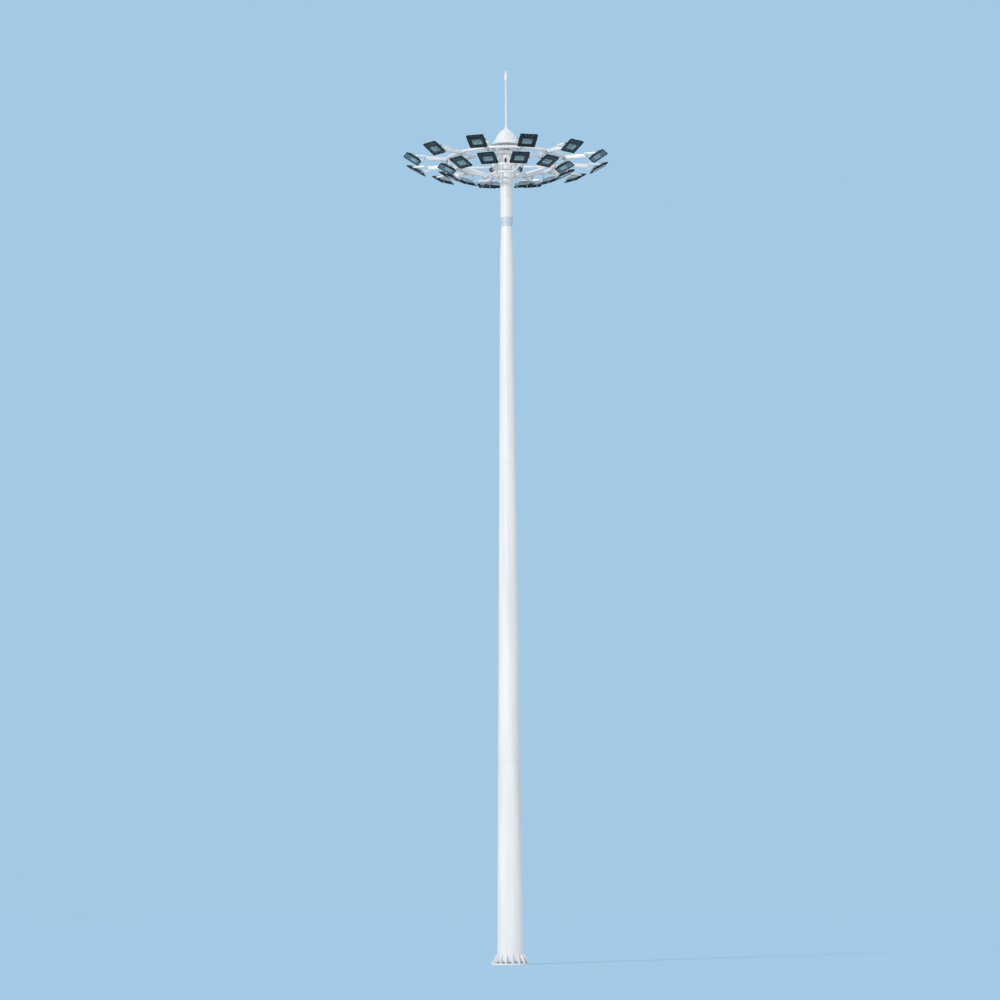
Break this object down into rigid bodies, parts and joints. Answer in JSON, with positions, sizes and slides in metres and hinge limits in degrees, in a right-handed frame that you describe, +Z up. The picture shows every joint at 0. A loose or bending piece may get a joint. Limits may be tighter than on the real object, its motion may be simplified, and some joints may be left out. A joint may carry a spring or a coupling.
{
  "type": "high mast floodlight tower",
  "caption": "Tall tapered mast with a raised round carriage of tilting floodlights, a bell hood and a lightning rod.",
  "frame": {"origin": "centre of the base plate's underside, on the mast's axis", "axes": "+Z up the mast, the picture taken from -Y, the access door on +Y"},
  "size_m": [6.4078, 6.4078, 27.94],
  "materials": {
    "mast_paint": "gloss white paint",
    "galvanised_steel": "hot-dip galvanised",
    "rope_steel": "stranded wire rope",
    "roller_rubber": "black rubber",
    "lamp_body": "die-cast body, dark frame and glass"
  },
  "bodies": {
    "mast": {"base_plate": "mast_paint", "base_gussets": "mast_paint", "mast_lower": "mast_paint", "mast_middle": "mast_paint", "mast_upper": "mast_paint", "door_frame": "mast_paint", "access_door": "mast_paint", "head_sleeve": "mast_paint", "head_frame": "mast_paint", "head_sheaves": "galvanised_steel", "rain_hood": "mast_paint", "hood_post": "mast_paint", "lightning_rod": "mast_paint", "docking_arms": "mast_paint", "hoist_ropes": "rope_steel", "inner_ropes": "rope_steel", "rope_plate": "galvanised_steel"},
    "carriage": {"hub_collars": "mast_paint", "hub_posts": "mast_paint", "guide_brackets": "galvanised_steel", "guide_rollers": "roller_rubber", "spokes": "mast_paint", "spoke_braces": "mast_paint", "inner_ring": "mast_paint", "outer_ring": "mast_paint", "lamp_arms": "mast_paint", "outer_yokes": "mast_paint", "inner_yokes": "mast_paint"},
    "outer_lamp_01": {"outer_floodlight_01": "lamp_body"},
    "outer_lamp_02": {"outer_floodlight_02": "lamp_body"},
    "outer_lamp_03": {"outer_floodlight_03": "lamp_body"},
    "outer_lamp_04": {"outer_floodlight_04": "lamp_body"},
    "outer_lamp_05": {"outer_floodlight_05": "lamp_body"},
    "outer_lamp_06": {"outer_floodlight_06": "lamp_body"},
    "outer_lamp_07": {"outer_floodlight_07": "lamp_body"},
    "outer_lamp_08": {"outer_floodlight_08": "lamp_body"},
    "outer_lamp_09": {"outer_floodlight_09": "lamp_body"},
    "outer_lamp_10": {"outer_floodlight_10": "lamp_body"},
    "outer_lamp_11": {"outer_floodlight_11": "lamp_body"},
    "outer_lamp_12": {"outer_floodlight_12": "lamp_body"},
    "inner_lamp_01": {"inner_floodlight_01": "lamp_body"},
    "inner_lamp_02": {"inner_floodlight_02": "lamp_body"},
    "inner_lamp_03": {"inner_floodlight_03": "lamp_body"},
    "inner_lamp_04": {"inner_floodlight_04": "lamp_body"},
    "inner_lamp_05": {"inner_floodlight_05": "lamp_body"},
    "inner_lamp_06": {"inner_floodlight_06": "lamp_body"},
    "inner_lamp_07": {"inner_floodlight_07": "lamp_body"},
    "inner_lamp_08": {"inner_floodlight_08": "lamp_body"},
    "inner_lamp_09": {"inner_floodlight_09": "lamp_body"},
    "inner_lamp_10": {"inner_floodlight_10": "lamp_body"},
    "inner_lamp_11": {"inner_floodlight_11": "lamp_body"},
    "inner_lamp_12": {"inner_floodlight_12": "lamp_body"}
  },
  "joints": [
    {"name": "carriage_hoist", "type": "slide", "parent": "mast", "child": "carriage", "axis": [0, 0, 1], "range_m": [-22.8, 0], "deforming": ["hoist_ropes"]},
    {"name": "outer_tilt_01", "type": "hinge", "parent": "carriage", "child": "outer_lamp_01", "pos_m": [2.87846, 0.77128, 25], "axis": [0.2588, -0.9659, 0], "range_deg": [-30, 45]},
    {"name": "outer_tilt_02", "type": "hinge", "parent": "carriage", "child": "outer_lamp_02", "pos_m": [2.10718, 2.10718, 25], "axis": [0.7071, -0.7071, 0], "range_deg": [-30, 45]},
    {"name": "outer_tilt_03", "type": "hinge", "parent": "carriage", "child": "outer_lamp_03", "pos_m": [0.77128, 2.87846, 25], "axis": [0.9659, -0.2588, 0], "range_deg": [-30, 45]},
    {"name": "outer_tilt_04", "type": "hinge", "parent": "carriage", "child": "outer_lamp_04", "pos_m": [-0.77128, 2.87846, 25], "axis": [0.9659, 0.2588, 0], "range_deg": [-30, 45]},
    {"name": "outer_tilt_05", "type": "hinge", "parent": "carriage", "child": "outer_lamp_05", "pos_m": [-2.10718, 2.10718, 25], "axis": [0.7071, 0.7071, 0], "range_deg": [-30, 45]},
    {"name": "outer_tilt_06", "type": "hinge", "parent": "carriage", "child": "outer_lamp_06", "pos_m": [-2.87846, 0.77128, 25], "axis": [0.2588, 0.9659, 0], "range_deg": [-30, 45]},
    {"name": "outer_tilt_07", "type": "hinge", "parent": "carriage", "child": "outer_lamp_07", "pos_m": [-2.87846, -0.77128, 25], "axis": [-0.2588, 0.9659, 0], "range_deg": [-30, 45]},
    {"name": "outer_tilt_08", "type": "hinge", "parent": "carriage", "child": "outer_lamp_08", "pos_m": [-2.10718, -2.10718, 25], "axis": [-0.7071, 0.7071, 0], "range_deg": [-30, 45]},
    {"name": "outer_tilt_09", "type": "hinge", "parent": "carriage", "child": "outer_lamp_09", "pos_m": [-0.77128, -2.87846, 25], "axis": [-0.9659, 0.2588, 0], "range_deg": [-30, 45]},
    {"name": "outer_tilt_10", "type": "hinge", "parent": "carriage", "child": "outer_lamp_10", "pos_m": [0.77128, -2.87846, 25], "axis": [-0.9659, -0.2588, 0], "range_deg": [-30, 45]},
    {"name": "outer_tilt_11", "type": "hinge", "parent": "carriage", "child": "outer_lamp_11", "pos_m": [2.10718, -2.10718, 25], "axis": [-0.7071, -0.7071, 0], "range_deg": [-30, 45]},
    {"name": "outer_tilt_12", "type": "hinge", "parent": "carriage", "child": "outer_lamp_12", "pos_m": [2.87846, -0.77128, 25], "axis": [-0.2588, -0.9659, 0], "range_deg": [-30, 45]},
    {"name": "inner_tilt_01", "type": "hinge", "parent": "carriage", "child": "inner_lamp_01", "pos_m": [1.82463, 0.48891, 24.735], "axis": [0.2588, -0.9659, 0], "range_deg": [-25, 20]},
    {"name": "inner_tilt_02", "type": "hinge", "parent": "carriage", "child": "inner_lamp_02", "pos_m": [1.33573, 1.33573, 24.735], "axis": [0.7071, -0.7071, 0], "range_deg": [-25, 20]},
    {"name": "inner_tilt_03", "type": "hinge", "parent": "carriage", "child": "inner_lamp_03", "pos_m": [0.48891, 1.82463, 24.735], "axis": [0.9659, -0.2588, 0], "range_deg": [-25, 20]},
    {"name": "inner_tilt_04", "type": "hinge", "parent": "carriage", "child": "inner_lamp_04", "pos_m": [-0.48891, 1.82463, 24.735], "axis": [0.9659, 0.2588, 0], "range_deg": [-25, 20]},
    {"name": "inner_tilt_05", "type": "hinge", "parent": "carriage", "child": "inner_lamp_05", "pos_m": [-1.33573, 1.33573, 24.735], "axis": [0.7071, 0.7071, 0], "range_deg": [-25, 20]},
    {"name": "inner_tilt_06", "type": "hinge", "parent": "carriage", "child": "inner_lamp_06", "pos_m": [-1.82463, 0.48891, 24.735], "axis": [0.2588, 0.9659, 0], "range_deg": [-25, 20]},
    {"name": "inner_tilt_07", "type": "hinge", "parent": "carriage", "child": "inner_lamp_07", "pos_m": [-1.82463, -0.48891, 24.735], "axis": [-0.2588, 0.9659, 0], "range_deg": [-25, 20]},
    {"name": "inner_tilt_08", "type": "hinge", "parent": "carriage", "child": "inner_lamp_08", "pos_m": [-1.33573, -1.33573, 24.735], "axis": [-0.7071, 0.7071, 0], "range_deg": [-25, 20]},
    {"name": "inner_tilt_09", "type": "hinge", "parent": "carriage", "child": "inner_lamp_09", "pos_m": [-0.48891, -1.82463, 24.735], "axis": [-0.9659, 0.2588, 0], "range_deg": [-25, 20]},
    {"name": "inner_tilt_10", "type": "hinge", "parent": "carriage", "child": "inner_lamp_10", "pos_m": [0.48891, -1.82463, 24.735], "axis": [-0.9659, -0.2588, 0], "range_deg": [-25, 20]},
    {"name": "inner_tilt_11", "type": "hinge", "parent": "carriage", "child": "inner_lamp_11", "pos_m": [1.33573, -1.33573, 24.735], "axis": [-0.7071, -0.7071, 0], "range_deg": [-25, 20]},
    {"name": "inner_tilt_12", "type": "hinge", "parent": "carriage", "child": "inner_lamp_12", "pos_m": [1.82463, -0.48891, 24.735], "axis": [-0.2588, -0.9659, 0], "range_deg": [-25, 20]}
  ]
}
